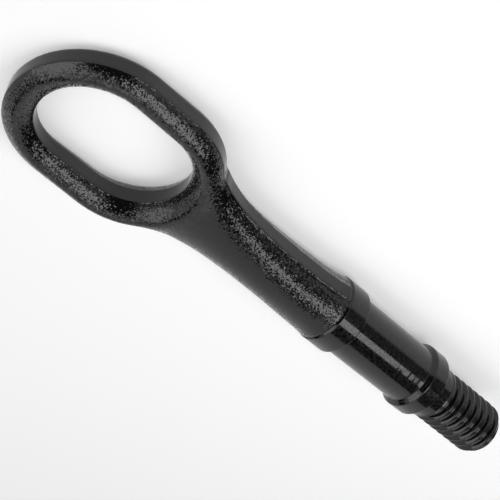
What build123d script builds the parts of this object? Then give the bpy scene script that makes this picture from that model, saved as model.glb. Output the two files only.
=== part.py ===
from build123d import *
from math import asin, atan, cos, pi, radians, sin
import os

os.makedirs("parts", exist_ok=True)

# A screw-in towing eye, forged in one piece and turned at its thread end.
# The shank's axis is X, and the origin is the centre of the seat, the front collar's thread-side face.
# The thread points to +X, and the eye lies flat in the XY plane at -X.

# Thread, left-handed, with its plain neck and chamfered tip
thread_diameter = 16.0
thread_pitch = 3.0
thread_depth = 1.5
groove_root_width = 0.6
groove_mouth_width = 1.8
mouth_overrun = 0.5           # how far the cutting shape stands out past the crests
groove_start = 5.3            # from the seat to the groove's first point
groove_start_angle = 197      # round the shank, from +Y towards +Z
neck_diameter = 15.6
neck_length = 5.6
thread_reach = 28.5           # from the seat to the tip
tip_diameter = 13.0
tip_chamfer_length = 2.2

# Turned shank with its front and rear collars
collar_diameter = 20.0
shank_diameter = 17.5
front_collar_width = 5.0
front_chamfer_length = 1.25
rear_collar_seat = 34.7       # from the seat to the rear collar's front face
rear_collar_width = 6.8
rear_ramp_length = 2.8
rear_ramp_diameter = 17.0

# Eye, an oval ring whose rim is high at the shank and lower at the far end
eye_reach = 147.2             # from the seat to the far end of the eye
rim_radius = 18.3             # of the rim's centre line at each rounded end
rim_width = 7.8
hole_straight = 13.0
near_rim_height = 13.6
far_rim_height = 8.2

# Parting band, the smooth flat left where the forging was trimmed all round
band_height = 4.4
band_proud = 0.2

# Forged shank and neck, a run of oval sections
forging_offset = -0.5         # how far the forging lies to one side of the turned axis
cap_flatness = 1.5            # how fast a section's top flattens as it grows wider than high
heel_diameter = 18.4
root_depth = 2.3              # how far the last section lies past the crest of the eye's near end
forged_sections = [           # share of the way from the heel to the root, width, height
    (0.0, heel_diameter, heel_diameter),
    (0.15, 17.9, 17.9),
    (0.32, 17.4, 17.4),
    (0.49, 17.8, 16.4),
    (0.64, 19.0, 15.4),
    (0.77, 21.0, 14.6),
    (0.9, 25.2, 13.6),
    (1.0, 30.0, 10.0),
]

far_centre = -eye_reach + rim_radius + rim_width / 2
near_centre = far_centre + hole_straight
thread_radius = thread_diameter / 2
collar_radius = collar_diameter / 2
rear_collar_back = rear_collar_seat + rear_collar_width
ramp_back = rear_collar_back + rear_ramp_length
heel_back = rear_collar_back + rear_ramp_length / 2
groove_reach = thread_reach + thread_pitch
blank_reach = groove_reach + thread_pitch
neck_run = root_depth - near_centre - rim_radius - heel_back
forged_outline = [(heel_back + share * neck_run, width, height) for share, width, height in forged_sections]
near_plane = Plane(origin=(near_centre + rim_radius, 0, 0), x_dir=(1, 0, 0), z_dir=(0, 1, 0))
far_plane = Plane(origin=(far_centre - rim_radius, 0, 0), x_dir=(-1, 0, 0), z_dir=(0, -1, 0))

with BuildPart() as forging:
    # Eye: half of the rim, swept round from its near to its far section, and its mirror image
    with BuildLine() as half_rim:
        CenterArc((near_centre, 0), rim_radius, 0, 90)
        Line((near_centre, rim_radius), (far_centre, rim_radius))
        CenterArc((far_centre, 0), rim_radius, 90, 90)
    flat_y = rim_width / 2
    rim_sections = []
    for plane, height in ((near_plane, near_rim_height), (far_plane, far_rim_height)):
        # The section is an oval with its two sides trimmed flat, and the flats stand a little proud
        edge = asin(band_height / height)
        oval_reach = (rim_width / 2 - band_proud) / cos(edge)
        turns = [edge, (pi / 2 + edge) / 2, pi / 2, pi - (pi / 2 + edge) / 2, pi - edge]
        cap = [(oval_reach * cos(turn), height / 2 * sin(turn)) for turn in turns]
        with BuildSketch(plane, mode=Mode.PRIVATE) as rim:
            with BuildLine():
                top = Spline(*cap)
                bottom = Spline(*[(-y, -z) for y, z in cap])
                Polyline(bottom @ 1, (flat_y, -band_height / 2), (flat_y, band_height / 2), top @ 0)
                Polyline(top @ 1, (-flat_y, band_height / 2), (-flat_y, -band_height / 2), bottom @ 0)
            make_face()
        rim_sections.append(rim.sketch.face())
    half_eye = sweep(sections=rim_sections, path=half_rim.wire(), multisection=True)
    mirror(half_eye, about=Plane.XZ)

    # Neck and forged shank: each section is drawn as four arcs that meet smoothly
    for back, width, height in forged_outline:
        half_width, half_height = width / 2, height / 2
        corner = atan((width / height) ** cap_flatness)
        rise, run = sin(corner), cos(corner)
        side_radius = (half_height * run - half_width * (1 - rise)) / (rise + run - 1)
        corner_y = half_width - side_radius * (1 - run)
        corner_z = side_radius * rise
        with BuildSketch(Plane(origin=(-back, 0, 0), x_dir=(0, 1, 0), z_dir=(1, 0, 0))):
            with BuildLine():
                ThreePointArc((-corner_y, corner_z), (0, half_height), (corner_y, corner_z))
                ThreePointArc((corner_y, corner_z), (half_width, 0), (corner_y, -corner_z))
                ThreePointArc((corner_y, -corner_z), (0, -half_height), (-corner_y, -corner_z))
                ThreePointArc((-corner_y, -corner_z), (-half_width, 0), (-corner_y, corner_z))
            make_face()
    loft()

    # Parting band along both sides of the neck and forged shank
    with BuildSketch(Plane.XY.offset(-band_height / 2)):
        with BuildLine():
            sides = []
            for side in (1, -1):
                points = [(-back, side * (width / 2 + band_proud)) for back, width, _ in forged_outline]
                sides.append(Spline(*points))
            Line(sides[0] @ 0, sides[1] @ 0)
            Line(sides[0] @ 1, sides[1] @ 1)
        make_face()
    extrude(amount=band_height)

# Groove of the thread, wound up the Z axis
with BuildPart() as groove:
    with BuildLine() as coil:
        Helix(thread_pitch, groove_reach - groove_start, thread_radius - thread_depth, lefthand=True)
    with BuildSketch(Plane(origin=coil.line @ 0, x_dir=(1, 0, 0), z_dir=coil.line % 0)):
        with BuildLine():
            Polyline(
                (0, -groove_root_width / 2),
                (0, groove_root_width / 2),
                (thread_depth, groove_mouth_width / 2),
                (thread_depth + mouth_overrun, groove_mouth_width / 2),
                (thread_depth + mouth_overrun, -groove_mouth_width / 2),
                (thread_depth, -groove_mouth_width / 2),
                close=True,
            )
        make_face()
    sweep(path=coil.line, is_frenet=True)

with BuildPart() as tow_eye:
    # Turned end: rear ramp and collar, shank, front chamfer and collar, plain neck and thread,
    # at first longer than the thread's reach so that the groove runs out inside it
    with BuildSketch():
        with BuildLine():
            Polyline(
                (-ramp_back, 0),
                (-ramp_back, rear_ramp_diameter / 2),
                (-rear_collar_back, collar_radius),
                (-rear_collar_seat, collar_radius),
                (-rear_collar_seat, shank_diameter / 2),
                (-front_collar_width - front_chamfer_length, shank_diameter / 2),
                (-front_collar_width, collar_radius),
                (0, collar_radius),
                (0, neck_diameter / 2),
                (neck_length, neck_diameter / 2),
                (neck_length + thread_radius - neck_diameter / 2, thread_radius),
                (blank_reach, thread_radius),
                (blank_reach, 0),
                close=True,
            )
        make_face()
    revolve(axis=Axis.X)
    side_y, side_z = cos(radians(groove_start_angle)), sin(radians(groove_start_angle))
    with Locations(Plane(origin=(groove_start, 0, 0), x_dir=(0, side_y, side_z), z_dir=(1, 0, 0))):
        add(groove.part, mode=Mode.SUBTRACT)

    # Tip, cut to length and chamfered through the thread
    with BuildSketch():
        with BuildLine():
            Polyline(
                (thread_reach - tip_chamfer_length, collar_radius),
                (thread_reach - tip_chamfer_length, thread_radius),
                (thread_reach, tip_diameter / 2),
                (thread_reach, 0),
                (blank_reach, 0),
                (blank_reach, collar_radius),
                close=True,
            )
        make_face()
    revolve(axis=Axis.X, mode=Mode.SUBTRACT)

    # Forging, joined to the turned end
    with Locations((0, forging_offset, 0)):
        add(forging.part)

tow_eye.part.label = "tow_eye"
export_step(tow_eye.part, "parts/tow_eye.step")
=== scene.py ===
from math import asin, atan, atan2, cos, floor, hypot, pi, radians, sin, tau

import bmesh
import bpy
from mathutils import Matrix, Vector


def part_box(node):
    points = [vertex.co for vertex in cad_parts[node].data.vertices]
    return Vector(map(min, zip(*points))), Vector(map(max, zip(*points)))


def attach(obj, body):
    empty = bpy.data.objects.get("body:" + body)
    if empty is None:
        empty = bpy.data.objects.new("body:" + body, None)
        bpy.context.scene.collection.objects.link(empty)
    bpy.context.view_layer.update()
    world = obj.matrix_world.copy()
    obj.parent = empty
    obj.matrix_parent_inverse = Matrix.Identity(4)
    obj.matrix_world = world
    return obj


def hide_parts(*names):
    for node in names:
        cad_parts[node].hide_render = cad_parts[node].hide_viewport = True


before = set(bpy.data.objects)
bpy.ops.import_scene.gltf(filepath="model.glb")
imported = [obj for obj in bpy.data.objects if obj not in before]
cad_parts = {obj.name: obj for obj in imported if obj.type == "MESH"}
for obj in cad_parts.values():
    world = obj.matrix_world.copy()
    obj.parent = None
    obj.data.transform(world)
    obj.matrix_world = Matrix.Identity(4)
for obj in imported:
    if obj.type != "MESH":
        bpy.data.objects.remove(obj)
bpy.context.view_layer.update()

bl_info = {
    "name": "Tow eye",
    "version": (1, 0, 0),
    "blender": (4, 5, 0),
    "location": "View3D > Sidebar > Tow eye",
    "description": "Builds a forged screw-in towing eye with a glossy black coat, on a pale studio floor",
    "category": "Object",
}

BODY = "root"
NODE = "tow_eye"

low_corner, high_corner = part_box(NODE)
EYE_REACH = -low_corner[0]
THREAD_REACH = high_corner[0]
COLLAR_RADIUS = high_corner[2]


class TowEyeForgingSettings(bpy.types.PropertyGroup):
    """Sizes of the forged ring, neck and shank"""

    rim_radius: bpy.props.FloatProperty(
        name="Rim radius", description="Radius of the rim's centre line at each rounded end",
        default=0.0183, min=0.005, unit="LENGTH", precision=5)
    rim_width: bpy.props.FloatProperty(
        name="Rim width", description="Width of the rim between its two trimmed flats",
        default=0.0078, min=0.002, unit="LENGTH", precision=5)
    near_rim_height: bpy.props.FloatProperty(
        name="Rim height at the shank", description="Height of the rim where the shank joins it",
        default=0.0136, min=0.005, unit="LENGTH", precision=5)
    far_rim_height: bpy.props.FloatProperty(
        name="Rim height at the far end", description="Height of the rim furthest from the shank",
        default=0.0082, min=0.005, unit="LENGTH", precision=5)
    hole_straight: bpy.props.FloatProperty(
        name="Straight run", description="Length of the ring's straight sides",
        default=0.013, min=0.0, unit="LENGTH", precision=5)
    band_height: bpy.props.FloatProperty(
        name="Band height", description="Height of the flat where the forging was trimmed",
        default=0.0044, min=0.0005, unit="LENGTH", precision=5)
    band_proud: bpy.props.FloatProperty(
        name="Band step", description="How far the trimmed flat stands out from the forging",
        default=0.0002, min=0.0, unit="LENGTH", precision=5)
    offset: bpy.props.FloatProperty(
        name="Sideways offset", description="How far the forging lies to one side of the turned axis",
        default=-0.0005, unit="LENGTH", precision=5)
    fillet: bpy.props.FloatProperty(
        name="Crotch fillet reach", description="How far the rounding between neck and ring reaches",
        default=0.005, min=0.0, unit="LENGTH", precision=5)


class TowEyeTurnedSettings(bpy.types.PropertyGroup):
    """Sizes of the turned shank, collars and thread"""

    shank_diameter: bpy.props.FloatProperty(
        name="Shank diameter", description="Diameter of the turned shank between the collars",
        default=0.0175, min=0.005, unit="LENGTH", precision=5)
    thread_diameter: bpy.props.FloatProperty(
        name="Thread diameter", description="Diameter over the crests of the thread",
        default=0.016, min=0.005, unit="LENGTH", precision=5)
    thread_pitch: bpy.props.FloatProperty(
        name="Thread pitch", description="Distance from one crest of the thread to the next",
        default=0.003, min=0.001, unit="LENGTH", precision=5)
    thread_depth: bpy.props.FloatProperty(
        name="Thread depth", description="Depth of the thread's groove",
        default=0.0014, min=0.0001, unit="LENGTH", precision=5)
    edge_radius: bpy.props.FloatProperty(
        name="Edge radius", description="Rounding of the collars' edges",
        default=0.0002, min=0.00005, unit="LENGTH", precision=5)


class TowEyeCoatSettings(bpy.types.PropertyGroup):
    """Colour and surface of the black coat"""

    colour: bpy.props.FloatVectorProperty(
        name="Coat colour", description="Colour of the coat", subtype="COLOR",
        size=4, min=0.0, max=1.0, default=(0.003, 0.003, 0.0032, 1.0))
    forged_roughness: bpy.props.FloatProperty(
        name="Roughness on the forging", description="Roughness of the coat over the forged steel",
        default=0.06, min=0.0, max=1.0, subtype="FACTOR")
    turned_roughness: bpy.props.FloatProperty(
        name="Roughness on the turned end", description="Roughness of the coat over the turned steel",
        default=0.06, min=0.0, max=1.0, subtype="FACTOR")
    grain_size: bpy.props.FloatProperty(
        name="Grain size", description="Size of the small facets of the forged skin",
        default=0.00029, min=0.0001, unit="LENGTH", precision=5)
    grain_lean: bpy.props.FloatProperty(
        name="Grain lean", description="How far the small facets of the forged skin lean",
        default=0.15, min=0.0, max=1.0, subtype="FACTOR")
    thread_roughness: bpy.props.FloatProperty(
        name="Roughness on the thread", description="Roughness of the coat on the thread",
        default=0.1, min=0.0, max=1.0, subtype="FACTOR")
    edge_lean: bpy.props.FloatProperty(
        name="Band edge", description="How rounded the edges of the trimmed flat are",
        default=0.8, min=0.0, max=2.0)
    line_spacing: bpy.props.FloatProperty(
        name="Line spacing", description="Distance between the fine rings that the lathe left",
        default=0.00065, min=0.00005, unit="LENGTH", precision=5)


class TowEyeStageSettings(bpy.types.PropertyGroup):
    """Floor, lamps and background"""

    floor_colour: bpy.props.FloatVectorProperty(
        name="Floor colour", description="Colour of the floor", subtype="COLOR",
        size=4, min=0.0, max=1.0, default=(0.84, 0.84, 0.84, 1.0))
    left_lamp: bpy.props.FloatProperty(
        name="Lamp beside the ring", description="Power of the lamp at the ring's end",
        default=3.4, min=0.0, unit="POWER")
    top_lamp: bpy.props.FloatProperty(
        name="Lamp above", description="Power of the small lamp straight above",
        default=0.9, min=0.0, unit="POWER")
    right_lamp: bpy.props.FloatProperty(
        name="Lamp beside the shank", description="Power of the lamp at the shank's side",
        default=0.72, min=0.0, unit="POWER")


def finished_piece(name, bm, material):
    """Makes an object of the bmesh, riding on the body, in place of the CAD node."""
    mesh = bpy.data.meshes.new(name)
    bm.to_mesh(mesh)
    bm.free()
    mesh.materials.append(material)
    piece = bpy.data.objects.new(name, mesh)
    bpy.context.scene.collection.objects.link(piece)
    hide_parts(NODE)
    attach(piece, BODY)
    return piece


def loop_of(bm, points):
    """A closed loop of edges through the points."""
    verts = [bm.verts.new(point) for point in points]
    return [bm.edges.new((a, b)) for a, b in zip(verts, verts[1:] + verts[:1])]


def bridge(bm, loops, closed=False):
    """A skin from each loop to the next, capped at its two ends unless it closes on itself."""
    following = loops[1:] + loops[:1] if closed else loops[1:]
    for near, far in zip(loops, following):
        bmesh.ops.bridge_loops(bm, edges=near + far)
    if not closed:
        for end in (loops[0], loops[-1]):
            bmesh.ops.edgeloop_fill(bm, edges=end)


def blend(low, high, value):
    """0 below low, 1 above high and a smooth rise between them."""
    share = min(max((value - low) / (high - low), 0.0), 1.0)
    return share * share * (3 - 2 * share)


def smooth_run(keys, place):
    """The value at a place on a smooth curve through (place, value) keys."""
    last = len(keys) - 1
    at = next((i for i in range(last) if place <= keys[i + 1][0]), last - 1)
    (x0, y0), (x1, y1) = keys[at], keys[at + 1]
    before, after = keys[max(at - 1, 0)], keys[min(at + 2, last)]
    slope0 = (y1 - before[1]) / (x1 - before[0])
    slope1 = (after[1] - y0) / (after[0] - x0)
    run, t = x1 - x0, (place - x0) / (x1 - x0)
    rise = (2 * t**3 - 3 * t**2 + 1) * y0 + (3 * t**2 - 2 * t**3) * y1
    return rise + run * ((t**3 - 2 * t**2 + t) * slope0 + (t**3 - t**2) * slope1)


NECK_KEYS = (  # distance back from the seat, width, height, sideways offset
    (0.0419, 0.0196, 0.0196, -0.0001),
    (0.0430, 0.0192, 0.0192, -0.0002),
    (0.0455, 0.0186, 0.0186, -0.00035),
    (0.0509, 0.0180, 0.0180, -0.0005),
    (0.0599, 0.0174, 0.0174, -0.0005),
    (0.0689, 0.0178, 0.0164, -0.0005),
    (0.0769, 0.0190, 0.0154, -0.0005),
    (0.0838, 0.0210, 0.0146, -0.0005),
    (0.0907, 0.0252, 0.0138, -0.0005),
    (0.0942, 0.0284, 0.0134, -0.0005),
)
CAP_STEPS = 12
CAP_SLOPE = 0.35              # 0 leaves the rim's cap oval, 1 makes it a roof with straight slopes
ARC_STEPS = 22
NECK_STEPS = 60
WEB_REACH = 0.0085
WEB_START = radians(44)
WEB_END = radians(8)
VOXEL = 0.0004
SIDE_STEPS = 4
RUN_STEPS = 8
CAP_FLATNESS = 1.5            # how fast the neck's top flattens as it grows wider than high
SKIN_SMOOTHINGS = 3
CROTCH_BACK = 0.0925          # from the seat to the middle of the crotch
CROTCH_HALF_WIDTH = 0.018
CROTCH_LOW = 0.0028           # the smoothing keeps off the trimmed flat below this height
CROTCH_SPREAD = 1.6
CROTCH_SHARES = (1.0, 0.8, 0.6)
CROTCH_SMOOTHINGS = 8


def all_round(quarter):
    """A whole section from one quarter of it, which runs from the side to the top."""
    top = quarter + [(-y, z) for y, z in reversed(quarter[:-1])]
    return top + [(-y, -z) for y, z in top[1:-1]]


def rim_quarter(height, sizes):
    """A quarter of the rim's section: a trimmed flat, a small step and a flattened oval cap."""
    flat, half_band = sizes.rim_width / 2, sizes.band_height / 2
    edge = asin(sizes.band_height / height)
    reach = (flat - sizes.band_proud) / cos(edge)
    turns = [edge + (pi / 2 - edge) * i / CAP_STEPS for i in range(CAP_STEPS + 1)]
    side = [(flat, half_band * i / SIDE_STEPS) for i in range(SIDE_STEPS + 1)]
    cap = []
    for turn in turns[:-1]:
        y, z = reach * cos(turn), height / 2 * sin(turn)
        # the cap is a little flatter on its slopes than an oval
        roof = half_band + (height / 2 - half_band) * (1 - y / (reach * cos(edge)))
        cap.append((y, z + (roof - z) * CAP_SLOPE * sin(pi * (turn - edge) / (pi / 2 - edge))))
    return side + cap + [(0.0, height / 2)]


def neck_quarter(width, height, sizes):
    """A quarter of the neck's section: a trimmed flat, a tight side arc and a flatter top arc."""
    half_width, half_height, half_band = width / 2, height / 2, sizes.band_height / 2
    corner = atan((width / height) ** CAP_FLATNESS)
    rise, run = sin(corner), cos(corner)
    side_radius = (half_height * run - half_width * (1 - rise)) / (rise + run - 1)
    corner_y = half_width - side_radius * (1 - run)
    corner_z = side_radius * rise
    drop = half_height - corner_z
    top_radius = (corner_y**2 + drop**2) / (2 * drop)
    flat = half_width + sizes.band_proud
    points = [(flat, half_band * i / SIDE_STEPS) for i in range(SIDE_STEPS + 1)]
    first = asin(min(half_band / side_radius, 1.0))
    for i in range(CAP_STEPS // 2):
        turn = first + (corner - first) * i / (CAP_STEPS // 2)
        points.append((half_width - side_radius * (1 - cos(turn)), side_radius * sin(turn)))
    widest = asin(min(corner_y / top_radius, 1.0))
    for i in range(CAP_STEPS // 2):
        turn = widest * (1 - i / (CAP_STEPS // 2))
        points.append((top_radius * sin(turn), half_height - top_radius * (1 - cos(turn))))
    return points + [(0.0, half_height)]


def rim_stations(sizes):
    """(centre, outward direction, height, reach of the web) all round the ring, from its near end."""
    far_centre = -EYE_REACH + sizes.rim_radius + sizes.rim_width / 2
    near_centre = far_centre + sizes.hole_straight
    quarter_turn = sizes.rim_radius * pi / 2
    half_run = 2 * quarter_turn + sizes.hole_straight
    runs = [quarter_turn * i / ARC_STEPS for i in range(ARC_STEPS)]
    runs += [quarter_turn + sizes.hole_straight * i / RUN_STEPS for i in range(RUN_STEPS)]
    straight_end = quarter_turn + sizes.hole_straight
    runs += [straight_end + quarter_turn * i / ARC_STEPS for i in range(ARC_STEPS + 1)]
    half = []
    for run in runs:
        if run < quarter_turn:
            turn, centre = run / sizes.rim_radius, near_centre
        elif run < straight_end:
            turn, centre = pi / 2, near_centre - (run - quarter_turn)
        else:
            past = run - quarter_turn - sizes.hole_straight
            turn, centre = pi / 2 + past / sizes.rim_radius, far_centre
        share = run / half_run
        height = sizes.near_rim_height + (sizes.far_rim_height - sizes.near_rim_height) * share
        outward = Vector((cos(turn), sin(turn), 0))
        web = WEB_REACH * (1 - blend(WEB_END, WEB_START, turn))
        half.append((Vector((centre, 0, 0)) + sizes.rim_radius * outward, outward, height, web))
    other = [
        (Vector((c.x, -c.y, 0)), Vector((o.x, -o.y, 0)), height, web)
        for c, o, height, web in reversed(half[1:-1])
    ]
    return half + other


def fused(bm, voxel):
    """One closed skin of even faces round all the shells of the bmesh."""
    rough = bpy.data.meshes.new("rough")
    bm.to_mesh(rough)
    bm.free()
    holder = bpy.data.objects.new("rough", rough)
    bpy.context.scene.collection.objects.link(holder)
    remesh = holder.modifiers.new("Remesh", "REMESH")
    remesh.mode = "VOXEL"
    remesh.voxel_size = voxel
    graph = bpy.context.evaluated_depsgraph_get()
    whole = bpy.data.meshes.new_from_object(holder.evaluated_get(graph))
    skin = bmesh.new()
    skin.from_mesh(whole)
    bpy.data.objects.remove(holder)
    bpy.data.meshes.remove(whole)
    bpy.data.meshes.remove(rough)
    return skin


def smooth(bm, verts, times):
    """Draws each vertex half-way to the middle of its neighbours, a number of times."""
    for _ in range(times):
        bmesh.ops.smooth_vert(
            bm, verts=verts, factor=0.5, use_axis_x=True, use_axis_y=True, use_axis_z=True)


def forged_eye_mesh(sizes):
    """The ring, neck and forged shank as one skin."""
    bm = bmesh.new()
    shift = Vector((0, sizes.offset, 0))
    up = Vector((0, 0, 1))
    ring = []
    for centre, outward, height, web in rim_stations(sizes):
        # towards the neck the outer half of the section is drawn out into a web that fills the crotch
        drawn = 1 + web / (sizes.rim_width / 2)
        section = [(y * drawn if y > 0 else y, z) for y, z in all_round(rim_quarter(height, sizes))]
        ring.append(loop_of(bm, [centre + shift + y * outward + z * up for y, z in section]))
    bridge(bm, ring, closed=True)

    widths, heights, offsets = ([(key[0], key[i]) for key in NECK_KEYS] for i in (1, 2, 3))
    first, last = NECK_KEYS[0][0], NECK_KEYS[-1][0]
    neck = []
    for i in range(NECK_STEPS + 1):
        back = first + (last - first) * i / NECK_STEPS
        width, height = smooth_run(widths, back), smooth_run(heights, back)
        section = all_round(neck_quarter(width, height, sizes))
        aside = smooth_run(offsets, back)
        neck.append(loop_of(bm, [Vector((-back, y + aside, z)) for y, z in section]))
    bridge(bm, neck)
    bmesh.ops.recalc_face_normals(bm, faces=bm.faces)

    skin = fused(bm, VOXEL)
    smooth(skin, skin.verts, SKIN_SMOOTHINGS)
    for share in CROTCH_SHARES:
        crotch = [
            v for v in skin.verts
            if abs(v.co.x + CROTCH_BACK) < sizes.fillet * CROTCH_SPREAD * share
            and abs(v.co.y) < CROTCH_HALF_WIDTH and abs(v.co.z) > CROTCH_LOW
        ]
        smooth(skin, crotch, CROTCH_SMOOTHINGS)
    for face in skin.faces:
        face.smooth = True
    return skin


FRONT_COLLAR_WIDTH = 0.0050
FRONT_CHAMFER = 0.00125
REAR_SEAT = 0.0347
REAR_WIDTH = 0.0068
GROOVE_DEPTH = 0.0005
STUB_LENGTH = 0.0025
STUB_RADIUS = 0.0088
PLAIN_NECK = 0.0056
NECK_RADIUS = 0.0078
TIP_CHAMFER = 0.0022
TIP_RADIUS = 0.0065
TURN_STEPS = 144
THREAD_ROWS = 190
GROOVE_ANGLE = radians(47)
GROOVE_PLACE = 0.0066
GROOVE_ROOT = 0.00035         # half the groove's width at its root
GROOVE_MOUTH = 0.0014         # half its width at the crests
RUN_IN = (0.0052, 0.0066)     # where along X the groove grows to its full depth
NECK_MARGIN = 0.0006          # the plain neck's outline ends this far before the thread
ROWS_MARGIN = 0.0004          # and the thread's rows start this far before it
CUT_MARGIN = 0.0005
CUT_CORE = 0.004              # nothing inside this radius is cut
TIP_STEP = 0.0002
LONG_EDGE = 0.003
LONG_EDGE_CUTS = 23
MERGE_GAP = 1e-7
CORNER_GAP = 1e-6
SHARP_EDGE = radians(50)


def thread_cut(x, turn, sizes):
    """Depth of the thread's groove at a place along and round the shank, its crest and root rounded."""
    pitch = sizes.thread_pitch
    along = (x - GROOVE_PLACE) / pitch + (turn - GROOVE_ANGLE) / tau
    off = abs(along - floor(along + 0.5)) * pitch
    shape = 1 - blend(GROOVE_ROOT, GROOVE_MOUTH, off)
    return sizes.thread_depth * shape * blend(*RUN_IN, x)


def turned_end_mesh(sizes):
    """The rear groove, two collars, shank, plain neck, thread and tip as one closed skin."""
    bm = bmesh.new()
    shank_radius = sizes.shank_diameter / 2
    thread_radius = sizes.thread_diameter / 2
    rear_back = REAR_SEAT + REAR_WIDTH
    outline = [
        (-rear_back - STUB_LENGTH, 0.0),
        (-rear_back - STUB_LENGTH, STUB_RADIUS),
        (-rear_back - GROOVE_DEPTH, COLLAR_RADIUS - GROOVE_DEPTH),
        (-rear_back, COLLAR_RADIUS),
        (-REAR_SEAT, COLLAR_RADIUS),
        (-REAR_SEAT, shank_radius),
        (-FRONT_COLLAR_WIDTH - FRONT_CHAMFER, shank_radius),
        (-FRONT_COLLAR_WIDTH, COLLAR_RADIUS),
        (0.0, COLLAR_RADIUS),
        (0.0, NECK_RADIUS),
        (PLAIN_NECK - NECK_MARGIN, NECK_RADIUS),
    ]
    tip_start = THREAD_REACH - TIP_CHAMFER
    thread_start = PLAIN_NECK - ROWS_MARGIN
    slope = (thread_radius - TIP_RADIUS) / TIP_CHAMFER
    for i in range(THREAD_ROWS + 1):
        x = thread_start + (THREAD_REACH - thread_start) * i / THREAD_ROWS
        outline.append((x, thread_radius - max(x - tip_start, 0.0) * slope))
    outline.append((THREAD_REACH, TIP_RADIUS - TIP_STEP))
    outline.append((THREAD_REACH, 0.0))
    verts = [bm.verts.new((x, 0.0, radius)) for x, radius in outline]
    edges = [bm.edges.new(pair) for pair in zip(verts, verts[1:])]
    runs = [e for e in edges if abs(e.verts[0].co.x - e.verts[1].co.x) > LONG_EDGE]
    bmesh.ops.subdivide_edges(bm, edges=runs, cuts=LONG_EDGE_CUTS)
    bmesh.ops.spin(
        bm, geom=bm.verts[:] + bm.edges[:], cent=(0, 0, 0), axis=(1, 0, 0), angle=tau,
        steps=TURN_STEPS, use_merge=True, use_duplicate=False)
    bmesh.ops.remove_doubles(bm, verts=bm.verts, dist=MERGE_GAP)
    bmesh.ops.recalc_face_normals(bm, faces=bm.faces)

    corners = {
        (-rear_back, COLLAR_RADIUS),
        (-REAR_SEAT, COLLAR_RADIUS), (-REAR_SEAT, shank_radius),
        (-FRONT_COLLAR_WIDTH - FRONT_CHAMFER, shank_radius), (-FRONT_COLLAR_WIDTH, COLLAR_RADIUS),
        (0.0, COLLAR_RADIUS), (0.0, NECK_RADIUS),
    }

    def on_corner(vert):
        radius = hypot(vert.co.y, vert.co.z)
        return any(
            abs(vert.co.x - x) < CORNER_GAP and abs(radius - r) < CORNER_GAP for x, r in corners)

    def on_rim(edge):
        a, b = edge.verts
        level = abs(a.co.x - b.co.x) < MERGE_GAP
        return level and on_corner(a) and on_corner(b) and abs(hypot(*a.co.yz) - hypot(*b.co.yz)) < CORNER_GAP

    rims = [edge for edge in bm.edges if on_rim(edge)]
    bmesh.ops.bevel(
        bm, geom=rims, offset=sizes.edge_radius, offset_type="OFFSET", segments=3, profile=0.5,
        affect="EDGES", material=-1)

    for vert in bm.verts:
        x, radius = vert.co.x, hypot(vert.co.y, vert.co.z)
        if x > PLAIN_NECK - CUT_MARGIN and radius > CUT_CORE:
            turn = atan2(vert.co.z, vert.co.y)
            wanted = min(radius, thread_radius - thread_cut(x, turn, sizes))
            vert.co.y *= wanted / radius
            vert.co.z *= wanted / radius
    for face in bm.faces:
        face.smooth = True
    for edge in bm.edges:
        edge.smooth = len(edge.link_faces) < 2 or edge.calc_face_angle(0.0) < SHARP_EDGE
    return bm


COAT_IOR = 1.44
THIN_COAT = 1.8                       # how much paler the coat is where it lies thin
PATCH_SCALE = 0.09                    # patches of fuller coat, against the grain's scale
PATCH_RANGE = (0.3, 0.7)
PATCH_ROUGHNESS = (0.7, 1.5)          # least and most roughness, as shares of the forging's own
FLAT_LEAN = 0.01                      # what is left of the grain's lean on the trimmed flat
GRAIN_EDGE = (-0.0001, 0.0006)        # where the grain starts and is full, from the flat's edge
BROAD_FACE = (0.9, 0.98)              # how far up or down the neck's pressed faces look
BROAD_START = (-0.098, -0.086)        # where along X those faces begin
PRESSED = 0.8                         # how much of the grain they lose
EDGE_GLINT = (0.00008, 0.0002)        # width of the rounding along the flat's edges
EDGE_GAPS_SCALE = 1400.0
EDGE_GAPS = (0.4, 0.62, 0.1, 1.0)
RING_LEAN = 0.01
RING_BREAKS_SCALE = 0.8
RING_BREAKS = (0.3, 0.6, 0.3, 1.0)
RING_RANGE = (0.3, 0.8)
RING_ROUGHNESS = 4.5                  # most roughness of a ring, against the turned end's own
LEAST_ROUGHNESS = 0.7
THREAD_RINGS = 0.1                    # what is left of the rings on the thread
THREAD_EDGE = (PLAIN_NECK - 0.001, PLAIN_NECK + 0.001)


def new_group(name, inputs, outputs):
    """An empty shader node group with named value sockets."""
    group = bpy.data.node_groups.new(name, "ShaderNodeTree")
    for title, kind, default in inputs:
        socket = group.interface.new_socket(name=title, in_out="INPUT", socket_type=kind)
        if default is not None:
            socket.default_value = default
    for title, kind in outputs:
        group.interface.new_socket(name=title, in_out="OUTPUT", socket_type=kind)
    return group, group.nodes.new("NodeGroupInput"), group.nodes.new("NodeGroupOutput")


def math_node(tree, operation, first, second=None, third=None):
    """A Math node fed with sockets or plain numbers."""
    node = tree.nodes.new("ShaderNodeMath")
    node.operation = operation
    for slot, value in enumerate((first, second, third)):
        if value is None:
            continue
        if isinstance(value, (int, float)):
            node.inputs[slot].default_value = value
        else:
            tree.links.new(value, node.inputs[slot])
    return node.outputs[0]


def noise_node(tree, vector, scale, detail=2.0, roughness=0.5):
    """A Noise Texture's value, its scale a socket or a number."""
    node = tree.nodes.new("ShaderNodeTexNoise")
    node.inputs["Detail"].default_value = detail
    node.inputs["Roughness"].default_value = roughness
    tree.links.new(vector, node.inputs["Vector"])
    if isinstance(scale, (int, float)):
        node.inputs["Scale"].default_value = scale
    else:
        tree.links.new(scale, node.inputs["Scale"])
    return node.outputs["Fac"]


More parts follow.
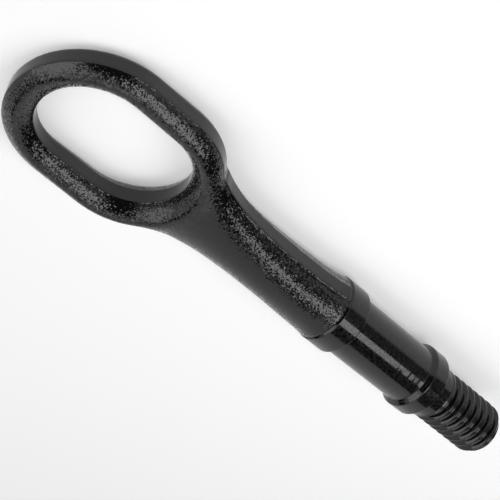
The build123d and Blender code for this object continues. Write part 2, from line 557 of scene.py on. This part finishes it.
def vector_node(tree, operation, first, second=None, scale=None):
    """A Vector Math node fed with sockets or plain vectors."""
    node = tree.nodes.new("ShaderNodeVectorMath")
    node.operation = operation
    for slot, value in enumerate((first, second)):
        if isinstance(value, tuple):
            node.inputs[slot].default_value = value
        elif value is not None:
            tree.links.new(value, node.inputs[slot])
    if isinstance(scale, (int, float)):
        node.inputs["Scale"].default_value = scale
    elif scale is not None:
        tree.links.new(scale, node.inputs["Scale"])
    return node.outputs[0]


def random_cells(tree, vector, scale):
    """A vector for each of the small cells that fill space, mostly short and now and then long."""
    cells = tree.nodes.new("ShaderNodeTexVoronoi")
    tree.links.new(vector, cells.inputs["Vector"])
    tree.links.new(scale, cells.inputs["Scale"])
    even = vector_node(tree, "MULTIPLY_ADD", cells.outputs["Color"], (2.0, 2.0, 2.0))
    even.node.inputs[2].default_value = (-1.0, -1.0, -1.0)
    length = tree.nodes.new("ShaderNodeVectorMath")
    length.operation = "LENGTH"
    tree.links.new(even, length.inputs[0])
    return vector_node(tree, "SCALE", even, scale=length.outputs["Value"])


def tipped(tree, normal, lean, amount):
    """The normal, tipped by a small vector times an amount."""
    push = vector_node(tree, "SCALE", lean, scale=amount)
    return vector_node(tree, "NORMALIZE", vector_node(tree, "ADD", normal, push))


def forging_grain_group():
    """Forged skin under its coat: small facets, each with its own lean, and patches of fuller coat."""
    name = "Forging grain"
    if name in bpy.data.node_groups:
        return bpy.data.node_groups[name]
    group, inside, out = new_group(
        name,
        [
            ("Vector", "NodeSocketVector", None),
            ("Normal", "NodeSocketVector", None),
            ("Grain size", "NodeSocketFloat", 0.0003),
            ("Lean", "NodeSocketFloat", 0.1),
        ],
        [("Normal", "NodeSocketVector"), ("Patches", "NodeSocketFloat")])
    scale = math_node(group, "DIVIDE", 1.0, inside.outputs["Grain size"])
    facets = random_cells(group, inside.outputs["Vector"], scale)
    leaning = tipped(group, inside.outputs["Normal"], facets, inside.outputs["Lean"])
    group.links.new(leaning, out.inputs["Normal"])
    wide = math_node(group, "MULTIPLY", scale, PATCH_SCALE)
    patches = noise_node(group, inside.outputs["Vector"], wide, 2.0)
    group.links.new(patches, out.inputs["Patches"])
    return group


def turning_lines_group():
    """The lathe's fine rings under the coat: how they lean, and where the coat lies thin on them."""
    name = "Turning lines"
    if name in bpy.data.node_groups:
        return bpy.data.node_groups[name]
    group, inside, out = new_group(
        name,
        [
            ("Vector", "NodeSocketVector", None),
            ("Normal", "NodeSocketVector", None),
            ("Line spacing", "NodeSocketFloat", 0.0004),
            ("Lean", "NodeSocketFloat", 0.01),
        ],
        [("Normal", "NodeSocketVector"), ("Rings", "NodeSocketFloat")])
    along = vector_node(group, "MULTIPLY", inside.outputs["Vector"], (1.0, 0.0, 0.0))
    scale = math_node(group, "DIVIDE", 1.0, inside.outputs["Line spacing"])
    rings = vector_node(group, "MULTIPLY", random_cells(group, along, scale), (1.0, 0.0, 0.0))
    leaning = tipped(group, inside.outputs["Normal"], rings, inside.outputs["Lean"])
    group.links.new(leaning, out.inputs["Normal"])
    parts = split_vector(group, inside.outputs["Vector"])
    turns = math_node(group, "MULTIPLY", math_node(group, "MULTIPLY", parts["X"], scale), tau)
    wave = math_node(group, "MULTIPLY_ADD", math_node(group, "SINE", turns), 0.5, 0.5)
    breaks_scale = math_node(group, "MULTIPLY", scale, RING_BREAKS_SCALE)
    broken = map_node(group, noise_node(group, inside.outputs["Vector"], breaks_scale, 1.0), *RING_BREAKS)
    group.links.new(math_node(group, "MULTIPLY", wave, broken), out.inputs["Rings"])
    return group


def split_vector(tree, vector):
    """The X, Y and Z of a vector."""
    node = tree.nodes.new("ShaderNodeSeparateXYZ")
    tree.links.new(vector, node.inputs[0])
    return node.outputs


def surface_normal(tree):
    """The surface's own normal."""
    return tree.nodes.new("ShaderNodeNewGeometry").outputs["Normal"]


def map_node(tree, value, low, high, to_low, to_high, kind="LINEAR"):
    """A Map Range node from low..high to another range."""
    node = tree.nodes.new("ShaderNodeMapRange")
    node.interpolation_type = kind
    ends = {"From Min": low, "From Max": high, "To Min": to_low, "To Max": to_high}
    for title, number in ends.items():
        node.inputs[title].default_value = number
    tree.links.new(value, node.inputs["Value"])
    return node.outputs["Result"]


def place_group(tree, group, **values):
    """The group's node in a material, with its numbers set."""
    node = tree.nodes.new("ShaderNodeGroup")
    node.node_tree = group
    for title, value in values.items():
        node.inputs[title.replace("_", " ")].default_value = value
    return node


def coat_material(name, roughness, coat):
    """The start of a black coat: its material, tree, shader and Object coordinates."""
    material = bpy.data.materials.new(name)
    material.use_nodes = True
    tree = material.node_tree
    shader = tree.nodes["Principled BSDF"]
    shader.inputs["Base Color"].default_value = coat.colour
    shader.inputs["Roughness"].default_value = roughness
    shader.inputs["IOR"].default_value = COAT_IOR
    place = tree.nodes.new("ShaderNodeTexCoord").outputs["Object"]
    return material, tree, shader, place


def coat_tint(tree, value, coat):
    """The coat's colour, a little thinner and paler where the value is high."""
    mix = tree.nodes.new("ShaderNodeMix")
    mix.data_type = "RGBA"
    mix.inputs["A"].default_value = coat.colour
    mix.inputs["B"].default_value = [min(part * THIN_COAT, 1.0) for part in coat.colour[:3]] + [1.0]
    tree.links.new(value, mix.inputs["Factor"])
    return mix.outputs["Result"]


def forged_coat(coat, sizes):
    """Black coat over the pitted skin of the forging, smooth on the trimmed band."""
    material, tree, shader, place = coat_material("coated_forging", coat.forged_roughness, coat)
    half_band = sizes.band_height / 2
    parts = split_vector(tree, place)
    off_middle = math_node(tree, "ABSOLUTE", parts["Z"])
    start, full = (half_band + step for step in GRAIN_EDGE)
    off_band = map_node(tree, off_middle, start, full, FLAT_LEAN, coat.grain_lean, "SMOOTHSTEP")
    # the die pressed the neck's two broad faces smoother
    upright = math_node(tree, "ABSOLUTE", split_vector(tree, surface_normal(tree))["Z"])
    broad = map_node(tree, upright, *BROAD_FACE, 0.0, PRESSED, "SMOOTHSTEP")
    on_neck = map_node(tree, parts["X"], *BROAD_START, 0.0, 1.0, "SMOOTHSTEP")
    left = math_node(tree, "SUBTRACT", 1.0, math_node(tree, "MULTIPLY", broad, on_neck))
    lean = math_node(tree, "MULTIPLY", off_band, left)
    grain = place_group(tree, forging_grain_group(), Grain_size=coat.grain_size)
    tree.links.new(place, grain.inputs["Vector"])
    tree.links.new(surface_normal(tree), grain.inputs["Normal"])
    tree.links.new(lean, grain.inputs["Lean"])

    # the trimmed flat's edges are small, uneven roundings that catch the light
    beside = math_node(tree, "ABSOLUTE", math_node(tree, "SUBTRACT", off_middle, half_band))
    edge = map_node(tree, beside, *EDGE_GLINT, 1.0, 0.0, "SMOOTHSTEP")
    uneven = map_node(tree, noise_node(tree, place, EDGE_GAPS_SCALE, 1.0), *EDGE_GAPS)
    side = math_node(tree, "SIGN", parts["Z"])
    push = math_node(tree, "MULTIPLY", math_node(tree, "MULTIPLY", edge, uneven), side)
    upward = tree.nodes.new("ShaderNodeCombineXYZ")
    tree.links.new(push, upward.inputs["Z"])
    rounded = tipped(tree, grain.outputs["Normal"], upward.outputs[0], coat.edge_lean)
    tree.links.new(rounded, shader.inputs["Normal"])

    least, most = (coat.forged_roughness * share for share in PATCH_ROUGHNESS)
    rough = map_node(tree, grain.outputs["Patches"], *PATCH_RANGE, least, most)
    tree.links.new(rough, shader.inputs["Roughness"])
    tree.links.new(coat_tint(tree, grain.outputs["Patches"], coat), shader.inputs["Base Color"])
    return material


def turned_coat(coat):
    """Black coat over the lathe's fine rings."""
    material, tree, shader, place = coat_material("coated_turning", coat.turned_roughness, coat)
    lines = place_group(tree, turning_lines_group(), Line_spacing=coat.line_spacing, Lean=RING_LEAN)
    tree.links.new(place, lines.inputs["Vector"])
    tree.links.new(surface_normal(tree), lines.inputs["Normal"])
    tree.links.new(lines.outputs["Normal"], shader.inputs["Normal"])
    along = split_vector(tree, place)["X"]
    most = coat.turned_roughness * RING_ROUGHNESS
    rings = map_node(tree, lines.outputs["Rings"], *RING_RANGE, 0.0, most)
    plain = map_node(tree, along, *THREAD_EDGE, 1.0, THREAD_RINGS)
    fine = math_node(tree, "MULTIPLY", rings, plain)
    smoothest = coat.turned_roughness * LEAST_ROUGHNESS
    least = map_node(tree, along, *THREAD_EDGE, smoothest, coat.thread_roughness)
    tree.links.new(math_node(tree, "ADD", fine, least), shader.inputs["Roughness"])
    tree.links.new(coat_tint(tree, lines.outputs["Rings"], coat), shader.inputs["Base Color"])
    return material


CAMERA_PLACE = Vector((-0.25113, 0.21055, 0.22070))
CAMERA_ACROSS = Vector((0.6729, 0.7256, -0.1441))
CAMERA_UP = Vector((-0.5367, 0.3448, -0.7701))
CAMERA_LENS = 99.856
MIDDLE = Vector((-0.06, 0.0, 0.0))
FLOOR_SLOPE = 0.0557                  # the part rests tipped back onto its ring
REST_BACK = 0.0415                    # from the seat to the rear collar's back edge, where it rests
FLOOR_SIZE = 8
FLOOR_LIFT = 0.36                     # what whitens the floor for the camera and for reflections
SKY_SEEN = 0.78                       # the same for the sky, on top of the light that it gives
SKY_LIGHT = 0.22
DARK_PAINT = (0.05, 0.05, 0.05, 1)
GREY_PAINT = (0.4, 0.4, 0.4, 1)
BOARD_DISTANCE = 1.0
BOARDS = (  # name, compass angle, angle above the floor, width, height, paint
    ("dark_board_shank", 12, 30, 0.6, 1.1, "dark_board"),
    ("dark_board_camera", 126, 33, 0.95, 1.15, "dark_board"),
    ("dark_board_lamp", 42, 36, 0.62, 0.5, "dark_board"),
    ("dark_board_behind", 253, 44, 0.34, 0.5, "dark_board"),
    ("grey_board_shank", 48, 13, 0.62, 0.46, "grey_board"),
)
LEFT_LAMP = (188, 40, 0.9)            # compass angle, angle above the floor, distance
LEFT_LAMP_SIZE = (0.72, 0.8)
TOP_LAMP_HEIGHT = 1
TOP_LAMP_SIZE = (0.4, 0.4)
RIGHT_LAMP = Vector((0.074, 0.2265, 0.2735))
RIGHT_LAMP_SIZE = (0.388, 0.14)
RIGHT_LAMP_AIM = Vector((0, -1, -1))


def seen_from(azimuth, elevation, distance):
    """The place at that compass angle and height above the floor, as seen from the object's middle."""
    a, e = radians(azimuth), radians(elevation)
    return MIDDLE + distance * Vector((cos(a) * cos(e), sin(a) * cos(e), sin(e)))


def facing_middle(obj, place):
    """Puts an object there, its -Z side turned to the object's middle."""
    obj.location = place
    obj.rotation_mode = "QUATERNION"
    obj.rotation_quaternion = (MIDDLE - place).to_track_quat("-Z", "Y")


def seen_by_eye(tree):
    """1 for rays from the camera, a mirror or through glass, otherwise 0."""
    rays = tree.nodes.new("ShaderNodeLightPath")
    either = math_node(tree, "MAXIMUM", rays.outputs["Is Camera Ray"], rays.outputs["Is Glossy Ray"])
    return math_node(tree, "MAXIMUM", either, rays.outputs["Is Transmission Ray"])


def add_lamp(name, place, width, height, power):
    """A soft rectangular lamp that faces the object."""
    data = bpy.data.lights.new(name, "AREA")
    data.shape = "RECTANGLE"
    data.size, data.size_y = width, height
    data.energy = power
    lamp = bpy.data.objects.new(name, data)
    facing_middle(lamp, place)
    bpy.context.scene.collection.objects.link(lamp)
    return lamp


def board_paint(name, colour):
    """Matt paint for a board."""
    paint = bpy.data.materials.new(name)
    paint.use_nodes = True
    shader = paint.node_tree.nodes["Principled BSDF"]
    shader.inputs["Base Color"].default_value = colour
    shader.inputs["Roughness"].default_value = 1.0
    return paint


def add_board(name, place, width, height, material):
    """A flat board of the stage, made of one square."""
    bm = bmesh.new()
    bmesh.ops.create_grid(bm, x_segments=1, y_segments=1, size=0.5)
    bmesh.ops.scale(bm, vec=(width, height, 1), verts=bm.verts)
    mesh = bpy.data.meshes.new(name)
    bm.to_mesh(mesh)
    bm.free()
    mesh.materials.append(material)
    board = bpy.data.objects.new(name, mesh)
    board.location = place
    bpy.context.scene.collection.objects.link(board)
    return board


class TOWEYE_OT_stage(bpy.types.Operator):
    """Make the floor, the lamps, the dark boards beside them and the camera"""

    bl_idname = "tow_eye.stage"
    bl_label = "Stage"

    def execute(self, context):
        scene = context.scene
        looks = scene.tow_eye_stage
        scene.view_settings.view_transform = "Standard"

        data = bpy.data.cameras.new("camera")
        data.lens = CAMERA_LENS
        data.sensor_width = 36
        camera = bpy.data.objects.new("camera", data)
        axes = Matrix((CAMERA_ACROSS, CAMERA_UP, CAMERA_ACROSS.cross(CAMERA_UP)))
        camera.matrix_world = Matrix.Translation(CAMERA_PLACE) @ axes.transposed().to_4x4()
        scene.collection.objects.link(camera)
        scene.camera = camera

        pale = bpy.data.materials.new("floor_paper")
        pale.use_nodes = True
        tree = pale.node_tree
        shader = tree.nodes["Principled BSDF"]
        shader.inputs["Roughness"].default_value = 0.9
        shader.inputs["Specular IOR Level"].default_value = 0.0
        shader.inputs["Base Color"].default_value = looks.floor_colour
        shader.inputs["Emission Color"].default_value = (1, 1, 1, 1)
        lift = math_node(tree, "MULTIPLY", seen_by_eye(tree), FLOOR_LIFT)
        tree.links.new(lift, shader.inputs["Emission Strength"])
        low = -COLLAR_RADIUS - FLOOR_SLOPE * REST_BACK
        floor_board = add_board("floor", (0, 0, low), FLOOR_SIZE, FLOOR_SIZE, pale)
        floor_board.rotation_euler = (0, atan(FLOOR_SLOPE), 0)

        paints = {"dark_board": DARK_PAINT, "grey_board": GREY_PAINT}
        paints = {name: board_paint(name, colour) for name, colour in paints.items()}
        for name, azimuth, elevation, width, height, paint in BOARDS:
            place = seen_from(azimuth, elevation, BOARD_DISTANCE)
            board = add_board(name, place, width, height, paints[paint])
            facing_middle(board, place)
            board.visible_camera = False

        add_lamp("lamp_beside_ring", seen_from(*LEFT_LAMP), *LEFT_LAMP_SIZE, looks.left_lamp)
        above = MIDDLE + Vector((0, 0, TOP_LAMP_HEIGHT))
        add_lamp("lamp_above", above, *TOP_LAMP_SIZE, looks.top_lamp)
        lamp = add_lamp("lamp_beside_shank", RIGHT_LAMP, *RIGHT_LAMP_SIZE, looks.right_lamp)
        lamp.rotation_quaternion = RIGHT_LAMP_AIM.to_track_quat("-Z", "Y")

        world = bpy.data.worlds.new("studio")
        world.use_nodes = True
        scene.world = world
        tree = world.node_tree
        sky = tree.nodes["Background"]
        sky.inputs["Color"].default_value = (1, 1, 1, 1)
        strength = math_node(tree, "MULTIPLY_ADD", seen_by_eye(tree), SKY_SEEN, SKY_LIGHT)
        tree.links.new(strength, sky.inputs["Strength"])
        return {"FINISHED"}


class TOWEYE_OT_forged_eye(bpy.types.Operator):
    """Make the forged ring, neck and shank as one skin"""

    bl_idname = "tow_eye.forged_eye"
    bl_label = "Forged eye"

    def execute(self, context):
        sizes = context.scene.tow_eye_forging
        material = forged_coat(context.scene.tow_eye_coat, sizes)
        piece = finished_piece("forged_eye", forged_eye_mesh(sizes), material)
        if not piece.data.polygons:
            raise RuntimeError("the forged eye has no faces")
        return {"FINISHED"}


class TOWEYE_OT_turned_end(bpy.types.Operator):
    """Make the turned shank with its collars and its thread"""

    bl_idname = "tow_eye.turned_end"
    bl_label = "Turned end"

    def execute(self, context):
        sizes = context.scene.tow_eye_turned
        material = turned_coat(context.scene.tow_eye_coat)
        piece = finished_piece("turned_end", turned_end_mesh(sizes), material)
        if not piece.data.polygons:
            raise RuntimeError("the turned end has no faces")
        return {"FINISHED"}


class TOWEYE_PT_panel(bpy.types.Panel):
    """The pieces of the tow eye and their settings"""

    bl_idname = "TOWEYE_PT_panel"
    bl_label = "Tow eye"
    bl_space_type = "VIEW_3D"
    bl_region_type = "UI"
    bl_category = "Tow eye"

    def draw(self, context):
        for operator, group in (
            (TOWEYE_OT_stage, "tow_eye_stage"),
            (TOWEYE_OT_forged_eye, "tow_eye_forging"),
            (TOWEYE_OT_turned_end, "tow_eye_turned"),
            (None, "tow_eye_coat"),
        ):
            box = self.layout.box()
            if operator:
                box.operator(operator.bl_idname)
            settings = getattr(context.scene, group)
            for name in settings.__annotations__:
                box.prop(settings, name)


SETTINGS = {
    "tow_eye_stage": TowEyeStageSettings,
    "tow_eye_forging": TowEyeForgingSettings,
    "tow_eye_turned": TowEyeTurnedSettings,
    "tow_eye_coat": TowEyeCoatSettings,
}
CLASSES = (*SETTINGS.values(), TOWEYE_OT_stage, TOWEYE_OT_forged_eye, TOWEYE_OT_turned_end, TOWEYE_PT_panel)


def register():
    for cls in CLASSES:
        bpy.utils.register_class(cls)
    for name, cls in SETTINGS.items():
        setattr(bpy.types.Scene, name, bpy.props.PointerProperty(type=cls))


def unregister():
    for name in SETTINGS:
        delattr(bpy.types.Scene, name)
    for cls in reversed(CLASSES):
        bpy.utils.unregister_class(cls)


def main():
    register()
    bpy.ops.tow_eye.stage()
    bpy.ops.tow_eye.forged_eye()
    bpy.ops.tow_eye.turned_end()


if __name__ == "__main__":
    main()
